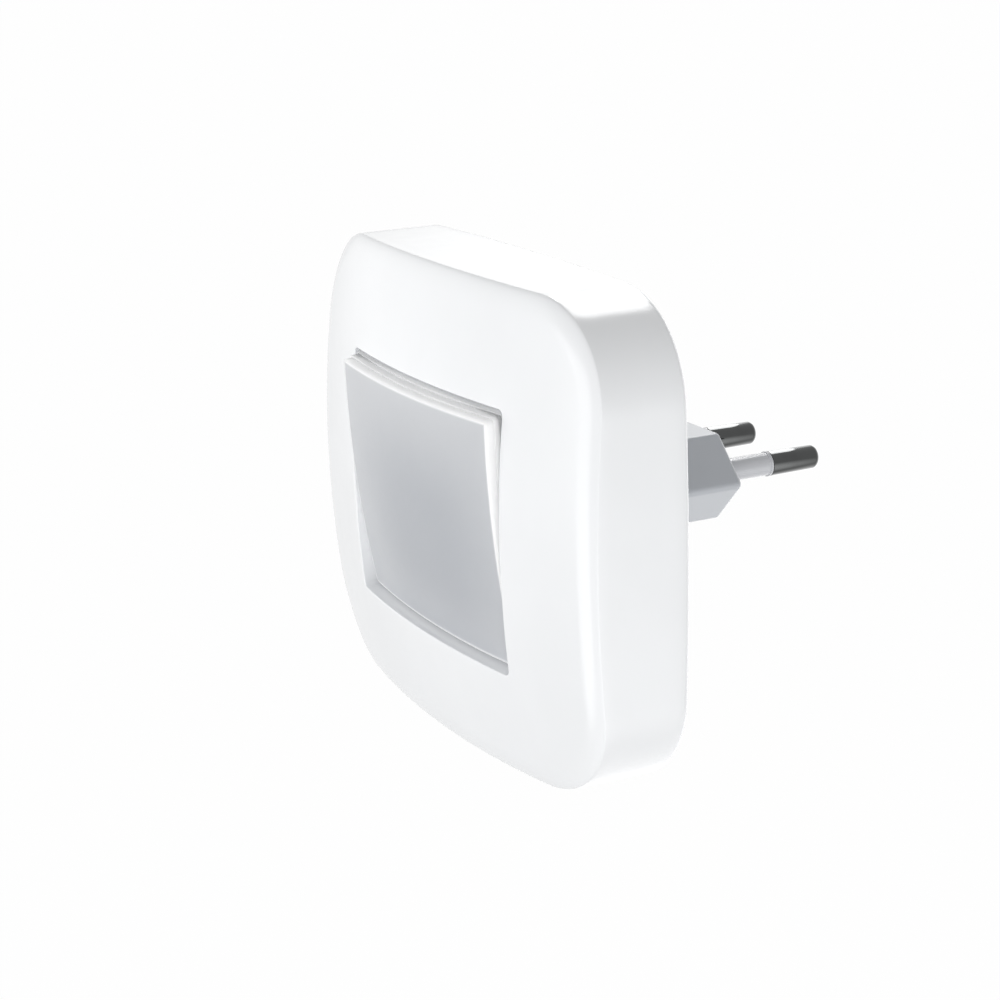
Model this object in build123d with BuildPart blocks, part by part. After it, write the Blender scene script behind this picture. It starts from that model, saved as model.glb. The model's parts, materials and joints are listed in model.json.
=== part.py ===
"""A plug-in LED night light whose window is a rocker: press the panel to switch the light.

Frame: the origin lies on the plug's engagement face, midway between the two pins.
+Z is up, the pins point along +Y and the front of the light faces -Y.
A station is a distance ahead of the engagement face, so a station s lies at y = -s.
All sizes are in millimetres.
"""

import os
from math import cos, radians, sin, sqrt

from build123d import *

os.makedirs("parts", exist_ok=True)

# ---------------------------------------------------------------- housing
housing_width = 90.2
housing_height = 73.6
corner_radius = 16.0
side_bulge = 1.4
top_bulge = 0.8
dome_radius = 187.0
rim_fillet = 2.0
back_edge_fillet = 0.6
side_wall = 2.2
front_wall = 2.0
rib_thickness = 1.0
rib_spacing = 25.0

# window in the front, and the collar behind its edge
window_width = 49.9
window_height = 39.7
window_drop = 0.4
window_corner = 1.0
window_edge_fillet = 0.4
collar_wall = 1.2

# rear cover
cover_thickness = 2.0
cover_rim_wall = 1.2
cover_gap = 0.15
lip_thickness = 1.2
lip_height = 3.0
seat_gap = 0.02

# ---------------------------------------------------------------- plug
plug_length = 26.7
plug_point_reach = 8.65
plug_height = 13.7
plug_edge_fillet = 1.0
plug_face_fillet = 0.8
plug_wall = 1.8
plug_end_wall = 9.0
flange_thickness = 1.6
flange_margin = 2.8
flange_corner = 1.5
stake_inset_x = 4.2
stake_inset_z = 3.4
stake_radius = 1.2
stake_head_radius = 2.0
stake_head_height = 0.6
stake_head_taper = 20

pin_spacing = 18.0
pin_length = 19.0
pin_radius = 2.0
pin_tip_fillet = 1.1
pin_core_radius = 1.5
sleeve_radius = 1.84
sleeve_length = 10.0
sleeve_depth = 2.0
sleeve_collar_radius = 2.1
sleeve_collar_height = 0.4
sleeve_collar_sink = 0.4
sleeve_end_gap = 0.1
pin_head_radius = 2.8
pin_head_height = 1.5
pin_tail_radius = 1.2
rivet_head_radius = 1.9
rivet_head_height = 0.7
strip_thickness = 0.6
strip_width = 3.0
strip_eyelet_radius = 2.4
strip_leg_z = 3.6
strip_bend = 1.0
strip_foot = 4.0

# ---------------------------------------------------------------- rocker
rocker_tilt = 6.55
pivot_depth = 6.3
lens_gap = 0.18
lens_side_gap = 0.3
lens_dome_radius = 190.0
lens_corner = 0.8
lens_edge_fillet = 0.35
lens_wall = 1.5
lens_step_width = 0.15
lens_step_drop = 0.75
lens_steps = 3
ring_ahead = 1.8
ring_behind = 1.5
ring_lip_end_gap = 0.2
ring_lip_wall = 0.8
ring_lip_gap = 0.05
swing_gap = 0.32

trunnion_radius = 1.3
trunnion_play = 0.06
trunnion_end_gap = 0.25
bearing_boss_radius = 3.0
bearing_boss_length = 1.5
bearing_slot_width = 2.3

stem_radius = 2.6
stem_length = 5.4
spoke_width = 3.4
spoke_thickness = 2.2
plunger_radius = 1.5
plunger_play = 0.08
plunger_length = 5.1
spring_wire_radius = 0.18
spring_turns = 4
spring_length = 3.2
spring_seat_gap = 0.03

# ---------------------------------------------------------------- switch
switch_width = 12.0
switch_height = 20.0
switch_depth = 4.7
switch_gap = 0.3
switch_wall = 1.0
switch_floor = 0.8
blade_tilt = 8.0
blade_length = 13.0
blade_width = 4.0
blade_thickness = 0.4
blade_corner = 0.5
blade_tab_length = 1.1
blade_tab_width = 1.0
contact_radius = 1.2
contact_height = 0.5
contact_arm = 5.0
contact_gap = 0.1
plunger_gap = 0.15
terminal_thickness = 0.3
terminal_width = 3.0
terminal_end_z = 3.0
terminal_reach = 1.6
cradle_width = 3.0
cradle_height = 0.9
cradle_thickness = 0.5
cradle_gap = 0.25
tab_rest_gap = 0.12

# ---------------------------------------------------------------- board and light parts
board_thickness = 1.2
board_side_gap = 2.9
board_boss_gap = 0.6
board_corner = 2.0
plate_thickness = 1.2
plate_margin = 0.9
plate_ear_height = 9.0
stem_hole_gap = 0.4
led_size = 5.0
led_height = 1.5
led_spacing_x = 26.0
led_spacing_z = 18.0
led_lens_radius = 1.9
led_lens_height = 0.25
led_hole_gap = 0.4
well_wall = 0.8
well_height = 0.9

film_cap_length = 17.5
film_cap_height = 10.5
film_cap_depth = 5.4
electrolytic_radius = 2.5
electrolytic_length = 11.0
electrolytic_groove = 0.3
electrolytic_groove_place = 1.6
electrolytic_cap_gap = 3.4
rectifier_width = 4.8
rectifier_height = 3.9
rectifier_depth = 2.4
rectifier_taper = 4
rectifier_leg = 1.0
fuse_body_radius = 1.6
fuse_body_length = 9.0
fuse_cap_length = 1.6
fuse_cap_rise = 0.25
lead_radius = 0.35
lead_reach = 2.2
lead_pitch = 2.5
chip_length = 3.2
chip_height = 1.6
chip_depth = 0.6
chip_count = 4
chip_spacing = 5.5
chip_row_gap = 2.4
part_edge_gap = 1.0
part_corner = 0.5

# ---------------------------------------------------------------- fasteners
screw_inset_x = 10.1
screw_inset_z = 9.8
screw_boss_radius = 3.6
screw_radius = 1.5
screw_length = 11.0
screw_head_radius = 2.75
screw_head_angle = 90
screw_head_gap = 0.05
screw_clearance = 0.2
screw_recess_width = 0.7
screw_recess_length = 2.8
screw_recess_depth = 0.7
screw_tip_radius = 0.5
screw_tip_length = 1.2
screw_hole_spare = 1.0
board_post_radius = 3.0
board_screw_radius = 1.1
board_screw_length = 7.0
board_screw_head_radius = 2.1
board_screw_head_height = 1.4
board_screw_head_bevel = 0.6

# ---------------------------------------------------------------- stations and places worked out
window_half_height = window_height / 2
lens_half_width = window_width / 2 - lens_side_gap - (lens_steps - 1) * lens_step_width
lens_half_height = window_half_height - pivot_depth * sin(radians(rocker_tilt)) - lens_gap
ring_half_width = lens_half_width + (lens_steps - 1) * lens_step_width
ring_half_height = lens_half_height + (lens_steps - 1) * lens_step_width
collar_below_pivot = ring_behind + ring_half_height * sin(radians(rocker_tilt)) + swing_gap

plug_width = pin_spacing + 2 * plug_point_reach
back_station = plug_length
cover_front = back_station + cover_thickness
flange_front = cover_front + flange_thickness
switch_rear = flange_front + switch_gap
board_rear = switch_rear + switch_depth
board_front = board_rear + board_thickness
plate_front = board_front + plate_thickness
pivot_station = plate_front + collar_below_pivot
front_station = pivot_station + pivot_depth
housing_depth = front_station - back_station

dome_centre = (0, dome_radius - front_station, 0)
pivot_z = -window_drop
collar_half_width = window_width / 2 + collar_wall
collar_half_height = window_half_height + collar_wall
bearing_face_x = collar_half_width + bearing_boss_length
post_x = (bearing_face_x + housing_width / 2 - side_wall) / 2
screw_x = housing_width / 2 - screw_inset_x
screw_z = housing_height / 2 - screw_inset_z
screw_places = [(x, z) for x in (-screw_x, screw_x) for z in (-screw_z, screw_z)]
post_places = [(-post_x, pivot_z), (post_x, pivot_z)]
pin_places = {"left": -pin_spacing / 2, "right": pin_spacing / 2}

board_width = housing_width - 2 * (side_wall + board_side_gap)
board_height = 2 * (screw_z - screw_boss_radius - board_boss_gap)
stem_hole_radius = (
    stem_radius + (pivot_station - board_rear) * sin(radians(rocker_tilt)) + stem_hole_gap
)
led_places = [
    (x, pivot_z + z)
    for x in (-led_spacing_x / 2, led_spacing_x / 2)
    for z in (-led_spacing_z / 2, led_spacing_z / 2)
]

floor_front = switch_rear + switch_floor
terminal_front = floor_front + terminal_thickness
fixed_contact_front = terminal_front + contact_height
blade_station = (
    fixed_contact_front
    + contact_gap
    + contact_height
    + (contact_arm + contact_radius) * sin(radians(blade_tilt))
    + blade_thickness / 2
)
plunger_tip = blade_station + blade_thickness / 2 + plunger_gap

# planes: every sketch is seen from the front, with x to the right and y up
rocker_plane = Plane(
    origin=(0, -pivot_station, pivot_z),
    x_dir=(1, 0, 0),
    z_dir=(0, -cos(radians(rocker_tilt)), -sin(radians(rocker_tilt))),
)
blade_plane = Plane(
    origin=(0, -blade_station, pivot_z),
    x_dir=(1, 0, 0),
    z_dir=(0, -cos(radians(blade_tilt)), sin(radians(blade_tilt))),
)


def at_station(station):
    """The upright plane at a station, facing the front."""
    return Plane.XZ.offset(station)


def window_plane(station):
    """The plane at a station whose origin is the window's middle."""
    return Plane(origin=(0, -station, pivot_z), x_dir=(1, 0, 0), z_dir=(0, -1, 0))


def housing_outline(inset=0.0):
    """The housing's outline: four bulged sides and round corners, moved in by inset."""
    half_width = housing_width / 2 - inset
    half_height = housing_height / 2 - inset
    # a shorter side on the same curve bulges less, as its length squared
    corner_x = half_width - side_bulge * (2 * half_height / housing_height) ** 2
    corner_z = half_height - top_bulge * (2 * half_width / housing_width) ** 2
    with BuildLine() as sides:
        ThreePointArc((corner_x, -corner_z), (half_width, 0), (corner_x, corner_z))
        ThreePointArc((corner_x, corner_z), (0, half_height), (-corner_x, corner_z))
        ThreePointArc((-corner_x, corner_z), (-half_width, 0), (-corner_x, -corner_z))
        ThreePointArc((-corner_x, -corner_z), (0, -half_height), (corner_x, -corner_z))
    make_face(sides.edges())
    fillet(vertices(), corner_radius - inset)


def plug_outline(inset=0.0):
    """The plug's six-sided section, whose two ends come to a right-angled point."""
    half_height = plug_height / 2 - inset
    tip = plug_width / 2 - inset * 2 ** 0.5
    shoulder = tip - half_height
    with BuildLine() as sides:
        Polyline(
            (tip, 0),
            (shoulder, half_height),
            (-shoulder, half_height),
            (-tip, 0),
            (-shoulder, -half_height),
            (shoulder, -half_height),
            close=True,
        )
    make_face(sides.edges())
    fillet(vertices(), plug_edge_fillet)


# ---------------------------------------------------------------- front shell
# The hollow inside the shell, with the collar, posts, bosses and ribs left standing in it.
rib_rear = pivot_station - ring_behind
with BuildPart() as shell_hollow:
    with BuildSketch(at_station(back_station)):
        housing_outline(side_wall)
    extrude(amount=housing_depth)
    with Locations(dome_centre):
        Sphere(dome_radius - front_wall, mode=Mode.INTERSECT)
    with BuildSketch(window_plane(plate_front)):
        RectangleRounded(2 * collar_half_width, 2 * collar_half_height, window_corner + collar_wall)
    extrude(amount=housing_depth, mode=Mode.SUBTRACT)
    with BuildSketch(window_plane(plate_front)):
        with Locations((-post_x, 0), (post_x, 0)):
            Circle(board_post_radius)
    extrude(amount=housing_depth, mode=Mode.SUBTRACT)
    with BuildSketch(at_station(cover_front)):
        with Locations(*screw_places):
            Circle(screw_boss_radius)
    extrude(amount=housing_depth, mode=Mode.SUBTRACT)
    with BuildSketch(at_station(rib_rear)):
        with Locations((-rib_spacing / 2, 0), (rib_spacing / 2, 0)):
            Rectangle(rib_thickness, housing_height)
        with Locations((0, pivot_z)):
            Rectangle(2 * collar_half_width, 2 * collar_half_height, mode=Mode.SUBTRACT)
    extrude(amount=housing_depth, mode=Mode.SUBTRACT)
    with BuildSketch(Plane.YZ.offset(collar_half_width)):
        with Locations((-pivot_station, pivot_z)):
            Circle(bearing_boss_radius)
    extrude(amount=bearing_boss_length, mode=Mode.SUBTRACT)
    with BuildSketch(Plane.YZ.offset(-collar_half_width)):
        with Locations((-pivot_station, pivot_z)):
            Circle(bearing_boss_radius)
    extrude(amount=-bearing_boss_length, mode=Mode.SUBTRACT)

boss_hole_depth = screw_length - cover_thickness + screw_hole_spare
post_hole_depth = board_screw_length - board_thickness - plate_thickness + screw_hole_spare
with BuildPart() as front_shell:
    with BuildSketch(at_station(back_station)):
        housing_outline()
    extrude(amount=housing_depth)
    with Locations(dome_centre):
        Sphere(dome_radius, mode=Mode.INTERSECT)
    fillet(front_shell.faces().sort_by(Axis.Y)[0].edges(), rim_fillet)
    fillet(front_shell.faces().sort_by(Axis.Y)[-1].edges(), back_edge_fillet)
    add(shell_hollow.part, mode=Mode.SUBTRACT)
    # rebate that takes the rear cover
    with BuildSketch(at_station(back_station)):
        housing_outline(cover_rim_wall)
    extrude(amount=cover_thickness, mode=Mode.SUBTRACT)
    # window
    with BuildSketch(window_plane(plate_front)):
        RectangleRounded(window_width, window_height, window_corner)
    extrude(amount=housing_depth, mode=Mode.SUBTRACT)
    window_edges = (
        front_shell.faces().filter_by(GeomType.SPHERE).sort_by(SortBy.AREA)[-1].inner_wires().edges()
    )
    fillet(window_edges, window_edge_fillet)
    # pivot bearings, open to the rear so that the trunnions snap in
    for side in (-1, 1):
        with BuildSketch(Plane.YZ.offset(side * (window_width / 2 - collar_wall / 2))):
            with Locations((-pivot_station, pivot_z)):
                Circle(trunnion_radius + trunnion_play)
            with Locations((-(pivot_station - bearing_boss_radius), pivot_z)):
                Rectangle(2 * bearing_boss_radius, bearing_slot_width)
        extrude(amount=side * (bearing_boss_length + 2 * collar_wall), mode=Mode.SUBTRACT)
    # screw holes
    with BuildSketch(at_station(cover_front)):
        with Locations(*screw_places):
            Circle(screw_radius + seat_gap)
    extrude(amount=boss_hole_depth, mode=Mode.SUBTRACT)
    with BuildSketch(at_station(plate_front)):
        with Locations(*post_places):
            Circle(board_screw_radius + seat_gap)
    extrude(amount=post_hole_depth, mode=Mode.SUBTRACT)

front_shell.part.label = "front_shell"
export_step(front_shell.part, "parts/front_shell.step")

# ---------------------------------------------------------------- rear cover
flange_width = plug_width + 2 * flange_margin
flange_height = plug_height + 2 * flange_margin
stake_x = flange_width / 2 - stake_inset_x
stake_z = flange_height / 2 - stake_inset_z
stake_places = [(x, z) for x in (-stake_x, stake_x) for z in (-stake_z, stake_z)]
with BuildPart() as rear_cover:
    with BuildSketch(at_station(cover_front)):
        housing_outline(side_wall + cover_gap)
    extrude(amount=lip_height)
    with BuildSketch(at_station(cover_front)):
        housing_outline(side_wall + cover_gap + lip_thickness)
    extrude(amount=lip_height, mode=Mode.SUBTRACT)
    with BuildSketch(at_station(cover_front)):
        with Locations(*screw_places):
            Circle(screw_boss_radius + cover_gap)
    extrude(amount=lip_height, mode=Mode.SUBTRACT)
    with BuildSketch(at_station(back_station)):
        housing_outline(cover_rim_wall + cover_gap)
    extrude(amount=cover_thickness)
    with BuildSketch(at_station(back_station)):
        plug_outline(-cover_gap)
    extrude(amount=cover_thickness, mode=Mode.SUBTRACT)
    # stakes that hold the plug's flange, with their melted heads
    with BuildSketch(at_station(cover_front)):
        with Locations(*stake_places):
            Circle(stake_radius)
    extrude(amount=flange_thickness)
    with BuildSketch(at_station(flange_front)):
        with Locations(*stake_places):
            Circle(stake_head_radius)
    extrude(amount=stake_head_height, taper=stake_head_taper)
    back_faces = [
        Plane(origin=(x, -back_station, z), x_dir=(-1, 0, 0), z_dir=(0, 1, 0)) for x, z in screw_places
    ]
    with Locations(*back_faces):
        CounterSinkHole(
            radius=screw_radius + screw_clearance,
            counter_sink_radius=screw_head_radius + screw_head_gap,
            depth=cover_thickness,
            counter_sink_angle=screw_head_angle,
        )

rear_cover.part.label = "rear_cover"
export_step(rear_cover.part, "parts/rear_cover.step")

# ---------------------------------------------------------------- plug
with BuildPart() as plug_body:
    with BuildSketch(at_station(0)):
        plug_outline()
    extrude(amount=flange_front)
    fillet(plug_body.faces().sort_by(Axis.Y)[-1].edges(), plug_face_fillet)
    with BuildSketch(at_station(cover_front)):
        RectangleRounded(flange_width, flange_height, flange_corner)
    extrude(amount=flange_thickness)
    with BuildSketch(at_station(cover_front)):
        with Locations(*stake_places):
            Circle(stake_radius + cover_gap)
    extrude(amount=flange_thickness, mode=Mode.SUBTRACT)
    with BuildSketch(at_station(plug_end_wall)):
        plug_outline(plug_wall)
    extrude(amount=flange_front - plug_end_wall, mode=Mode.SUBTRACT)
    with BuildSketch(at_station(0)):
        with Locations(*[(x, 0) for x in pin_places.values()]):
            Circle(sleeve_radius + seat_gap)
    extrude(amount=plug_end_wall, mode=Mode.SUBTRACT)
    with BuildSketch(at_station(0)):
        with Locations(*[(x, 0) for x in pin_places.values()]):
            Circle(sleeve_collar_radius + seat_gap)
    extrude(amount=sleeve_collar_sink + seat_gap, mode=Mode.SUBTRACT)

plug_body.part.label = "plug_body"
export_step(plug_body.part, "parts/plug_body.step")

strip_station = plug_end_wall + pin_head_height
tail_end = strip_station + strip_thickness
for side, pin_x in pin_places.items():
    # turned pin: rounded tip, waist under the sleeve, shank, head and riveted tail
    with BuildPart() as pin:
        with BuildSketch(Plane.XY.move(Location((pin_x, 0, 0)))):
            with BuildLine():
                Polyline(
                    (0, pin_length),
                    (pin_radius, pin_length),
                    (pin_radius, sleeve_length),
                    (pin_core_radius, sleeve_length),
                    (pin_core_radius, -sleeve_depth),
                    (sleeve_radius, -sleeve_depth),
                    (sleeve_radius, -plug_end_wall),
                    (pin_head_radius, -plug_end_wall),
                    (pin_head_radius, -strip_station),
                    (pin_tail_radius, -strip_station),
                    (pin_tail_radius, -tail_end),
                    (rivet_head_radius, -tail_end),
                    (pin_tail_radius, -tail_end - rivet_head_height),
                    (0, -tail_end - rivet_head_height),
                    close=True,
                )
            make_face()
        revolve(axis=Axis((pin_x, 0, 0), (0, 1, 0)))
        fillet(pin.edges().sort_by(Axis.Y)[-1], pin_tip_fillet)
    pin.part.label = "pin_" + side
    export_step(pin.part, f"parts/pin_{side}.step")

    with BuildPart() as pin_sleeve:
        with BuildSketch(Plane.XY.move(Location((pin_x, 0, 0)))):
            with BuildLine():
                Polyline(
                    (pin_core_radius + seat_gap, sleeve_length - sleeve_end_gap),
                    (sleeve_radius, sleeve_length - sleeve_end_gap),
                    (sleeve_radius, sleeve_collar_height),
                    (sleeve_collar_radius, sleeve_collar_height),
                    (sleeve_collar_radius, -sleeve_collar_sink),
                    (sleeve_radius, -sleeve_collar_sink),
                    (sleeve_radius, -sleeve_depth),
                    (pin_core_radius + seat_gap, -sleeve_depth),
                    close=True,
                )
            make_face()
        revolve(axis=Axis((pin_x, 0, 0), (0, 1, 0)))
    pin_sleeve.part.label = "pin_sleeve_" + side
    export_step(pin_sleeve.part, f"parts/pin_sleeve_{side}.step")

    # bent strip from the pin's tail to the board: eyelet, leg and soldered foot
    half_thickness = strip_thickness / 2
    with BuildPart() as terminal_strip:
        with BuildSketch(Plane.YZ.offset(pin_x - strip_width / 2)):
            with BuildLine():
                FilletPolyline(
                    (-strip_station - half_thickness, strip_eyelet_radius - strip_thickness),
                    (-strip_station - half_thickness, strip_leg_z),
                    (-board_rear + half_thickness, strip_leg_z),
                    (-board_rear + half_thickness, strip_leg_z + strip_foot),
                    radius=strip_bend,
                )
            trace(line_width=strip_thickness)
        extrude(amount=strip_width)
        with BuildSketch(at_station(strip_station)):
            with Locations((pin_x, 0)):
                Circle(strip_eyelet_radius)
        extrude(amount=strip_thickness)
        with BuildSketch(at_station(strip_station)):
            with Locations((pin_x, 0)):
                Circle(pin_tail_radius + seat_gap)
        extrude(amount=strip_thickness, mode=Mode.SUBTRACT)
    terminal_strip.part.label = "terminal_strip_" + side
    export_step(terminal_strip.part, f"parts/terminal_strip_{side}.step")

# ---------------------------------------------------------------- rocker lens
lens_centre = rocker_plane.from_local_coords((0, 0, pivot_depth - lens_dome_radius))
lens_layers = []
for step in range(lens_steps):
    grow = 2 * step * lens_step_width
    with BuildPart() as lens_layer:
        with BuildSketch(rocker_plane.offset(ring_ahead)):
            RectangleRounded(2 * lens_half_width + grow, 2 * lens_half_height + grow, lens_corner)
        extrude(amount=pivot_depth)
        with Locations(lens_centre):
            Sphere(lens_dome_radius - step * lens_step_drop, mode=Mode.INTERSECT)
    lens_layers.append(lens_layer.part)

lens_inner_half_width = lens_half_width - lens_wall
lens_inner_half_height = lens_half_height - lens_wall
with BuildPart() as lens_hollow:
    with BuildSketch(rocker_plane.offset(ring_ahead)):
        RectangleRounded(2 * lens_inner_half_width, 2 * lens_inner_half_height, lens_corner)
    extrude(amount=pivot_depth)
    with Locations(lens_centre):
        Sphere(lens_dome_radius - lens_wall, mode=Mode.INTERSECT)

with BuildPart() as rocker_lens:
    for layer in lens_layers:
        add(layer)
    lens_face = rocker_lens.faces().filter_by(GeomType.SPHERE).sort_by(SortBy.AREA)[-1]
    fillet(lens_face.edges(), lens_edge_fillet)
    add(lens_hollow.part, mode=Mode.SUBTRACT)

rocker_lens.part.label = "rocker_lens"
export_step(rocker_lens.part, "parts/rocker_lens.step")

# ---------------------------------------------------------------- rocker carrier, plunger and spring
tip_place = plunger_tip - pivot_station
plunger_end = tip_place + plunger_length
bore_end = plunger_end + spring_length + 2 * spring_seat_gap
trunnion_length = window_width / 2 + collar_wall + bearing_boss_length - trunnion_end_gap - ring_half_width
ring_lip_half_width = lens_inner_half_width - ring_lip_gap
ring_lip_half_height = lens_inner_half_height - ring_lip_gap
ring_inner_half_width = ring_lip_half_width - ring_lip_wall
ring_inner_half_height = ring_lip_half_height - ring_lip_wall
# the lip ends below the corners of the lens's hollow, where its dome is lowest
hollow_radius = lens_dome_radius - lens_wall
hollow_sag = hollow_radius - sqrt(hollow_radius**2 - ring_lip_half_width**2 - ring_lip_half_height**2)
ring_lip_height = pivot_depth - lens_wall - hollow_sag - ring_ahead - ring_lip_end_gap
with BuildPart() as rocker_carrier:
    with BuildSketch(rocker_plane.offset(-ring_behind)):
        RectangleRounded(2 * ring_half_width, 2 * ring_half_height, lens_corner)
    extrude(amount=ring_behind + ring_ahead)
    with BuildSketch(rocker_plane.offset(ring_ahead)):
        RectangleRounded(2 * ring_lip_half_width, 2 * ring_lip_half_height, lens_corner)
    extrude(amount=ring_lip_height)
    with BuildSketch(rocker_plane.offset(-ring_behind)):
        Rectangle(2 * ring_inner_half_width, 2 * ring_inner_half_height)
    extrude(amount=ring_behind + ring_ahead + ring_lip_height, mode=Mode.SUBTRACT)
    with BuildSketch(rocker_plane.offset(ring_ahead)):
        Rectangle(2 * ring_inner_half_width, spoke_width)
    extrude(amount=-spoke_thickness)
    with BuildSketch(rocker_plane.offset(-stem_length)):
        Circle(stem_radius)
    extrude(amount=stem_length + ring_ahead)
    with BuildSketch(rocker_plane.offset(-stem_length)):
        Circle(plunger_radius + plunger_play)
    extrude(amount=stem_length + bore_end, mode=Mode.SUBTRACT)
    for side in (-1, 1):
        with BuildSketch(Plane.YZ.offset(side * ring_half_width)):
            with Locations((-pivot_station, pivot_z)):
                Circle(trunnion_radius)
        extrude(amount=side * trunnion_length)

rocker_carrier.part.label = "rocker_carrier"
export_step(rocker_carrier.part, "parts/rocker_carrier.step")

with BuildPart() as plunger:
    with BuildSketch(rocker_plane.offset(tip_place + plunger_radius)):
        Circle(plunger_radius)
    extrude(amount=plunger_length - plunger_radius)
    with Locations(rocker_plane.from_local_coords((0, 0, tip_place + plunger_radius))):
        Sphere(plunger_radius)

plunger.part.label = "plunger"
export_step(plunger.part, "parts/plunger.step")

coil_radius = plunger_radius - 2 * spring_wire_radius
coil_length = spring_length - 2 * spring_wire_radius
coil_start = plunger_end + spring_seat_gap + spring_wire_radius
with BuildPart() as plunger_spring:
    with BuildLine() as coil:
        Helix(
            pitch=coil_length / spring_turns,
            height=coil_length,
            radius=coil_radius,
            center=rocker_plane.from_local_coords((0, 0, coil_start)),
            direction=rocker_plane.z_dir,
        )
    with BuildSketch(Plane(origin=coil.line @ 0, z_dir=coil.line % 0)):
        RegularPolygon(spring_wire_radius, side_count=6)
    sweep()

plunger_spring.part.label = "plunger_spring"
export_step(plunger_spring.part, "parts/plunger_spring.step")

# ---------------------------------------------------------------- switch
slot_gap = 2 * seat_gap
with BuildPart() as switch_base:
    with BuildSketch(window_plane(switch_rear)):
        Rectangle(switch_width, switch_height)
    extrude(amount=switch_depth)
    with BuildSketch(window_plane(floor_front)):
        Rectangle(switch_width - 2 * switch_wall, switch_height - 2 * switch_wall)
    extrude(amount=switch_depth, mode=Mode.SUBTRACT)
    with BuildSketch(window_plane(floor_front)):
        Rectangle(terminal_width + slot_gap, switch_height)
    extrude(amount=terminal_thickness + slot_gap, mode=Mode.SUBTRACT)

switch_base.part.label = "switch_base"
export_step(switch_base.part, "parts/switch_base.step")

terminal_reach_z = switch_height / 2 + terminal_reach
leg_height = board_rear - floor_front
with BuildPart() as switch_contact_strip:
    with BuildSketch(window_plane(floor_front)):
        with Locations((0, -terminal_end_z)):
            Rectangle(terminal_width, terminal_reach_z - terminal_end_z, align=(Align.CENTER, Align.MAX))
    extrude(amount=terminal_thickness)
    with BuildSketch(window_plane(floor_front)):
        with Locations((0, -terminal_reach_z)):
            Rectangle(terminal_width, terminal_thickness, align=(Align.CENTER, Align.MIN))
    extrude(amount=leg_height)
    with BuildSketch(window_plane(terminal_front)):
        with Locations((0, -contact_arm)):
            Circle(contact_radius)
    extrude(amount=contact_height)

switch_contact_strip.part.label = "switch_contact_strip"
export_step(switch_contact_strip.part, "parts/switch_contact_strip.step")

# the blade's tabs lie in the notches of two ears folded up from the common strip
ear_x = blade_width / 2 + cradle_gap
ear_rise = blade_station + cradle_height - floor_front
notch_bottom = blade_station - blade_thickness / 2 - tab_rest_gap
with BuildPart() as switch_pivot_strip:
    with BuildSketch(window_plane(floor_front)):
        Rectangle(2 * (ear_x + cradle_thickness), cradle_width)
        Rectangle(terminal_width, terminal_reach_z, align=(Align.CENTER, Align.MIN))
    extrude(amount=terminal_thickness)
    with BuildSketch(window_plane(floor_front)):
        with Locations((0, terminal_reach_z)):
            Rectangle(terminal_width, terminal_thickness, align=(Align.CENTER, Align.MAX))
    extrude(amount=leg_height)
    with BuildSketch(window_plane(floor_front)):
        with Locations((-ear_x, 0)):
            Rectangle(cradle_thickness, cradle_width, align=(Align.MAX, Align.CENTER))
        with Locations((ear_x, 0)):
            Rectangle(cradle_thickness, cradle_width, align=(Align.MIN, Align.CENTER))
    extrude(amount=ear_rise)
    with BuildSketch(window_plane(notch_bottom)):
        Rectangle(2 * (ear_x + cradle_thickness), blade_tab_width + 2 * cradle_gap)
    extrude(amount=ear_rise, mode=Mode.SUBTRACT)

switch_pivot_strip.part.label = "switch_pivot_strip"
export_step(switch_pivot_strip.part, "parts/switch_pivot_strip.step")

with BuildPart() as seesaw_contact:
    with BuildSketch(blade_plane):
        RectangleRounded(blade_width, blade_length, blade_corner)
        Rectangle(blade_width + 2 * blade_tab_length, blade_tab_width)
    extrude(amount=blade_thickness / 2, both=True)
    with BuildSketch(blade_plane.offset(-blade_thickness / 2)):
        with Locations((0, -contact_arm)):
            Circle(contact_radius)
    extrude(amount=-contact_height)

seesaw_contact.part.label = "seesaw_contact"
export_step(seesaw_contact.part, "parts/seesaw_contact.step")

# ---------------------------------------------------------------- board, reflector and light emitters
with BuildPart() as circuit_board:
    with BuildSketch(at_station(board_rear)):
        RectangleRounded(board_width, board_height, board_corner)
        with Locations((0, pivot_z)):
            Circle(stem_hole_radius, mode=Mode.SUBTRACT)
        with Locations(*post_places):
            Circle(board_screw_radius + screw_clearance, mode=Mode.SUBTRACT)
    extrude(amount=board_thickness)

circuit_board.part.label = "circuit_board"
export_step(circuit_board.part, "parts/circuit_board.step")

led_hole = led_size + 2 * led_hole_gap
ear_half_width = post_x + board_post_radius + plate_margin
with BuildPart() as reflector_plate:
    with BuildSketch(window_plane(board_front)):
        RectangleRounded(
            2 * (collar_half_width + plate_margin), 2 * (collar_half_height + plate_margin), board_corner
        )
        RectangleRounded(2 * ear_half_width, plate_ear_height, board_corner)
    extrude(amount=plate_thickness)
    with BuildSketch(at_station(plate_front)):
        with Locations(*led_places):
            Rectangle(led_hole + 2 * well_wall, led_hole + 2 * well_wall)
    extrude(amount=well_height)
    with BuildSketch(at_station(board_front)):
        with Locations(*led_places):
            Rectangle(led_hole, led_hole)
        with Locations((0, pivot_z)):
            Circle(stem_hole_radius)
        with Locations(*post_places):
            Circle(board_screw_radius + screw_clearance)
    extrude(amount=plate_thickness + well_height, mode=Mode.SUBTRACT)

reflector_plate.part.label = "reflector_plate"
export_step(reflector_plate.part, "parts/reflector_plate.step")

with BuildPart() as leds:
    with BuildSketch(at_station(board_front)):
        with Locations(*led_places):
            Rectangle(led_size, led_size)
    extrude(amount=led_height)
    with BuildSketch(at_station(board_front + led_height)):
        with Locations(*led_places):
            Circle(led_lens_radius)
    extrude(amount=led_lens_height)

leds.part.label = "leds"
export_step(leds.part, "parts/leds.step")

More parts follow.
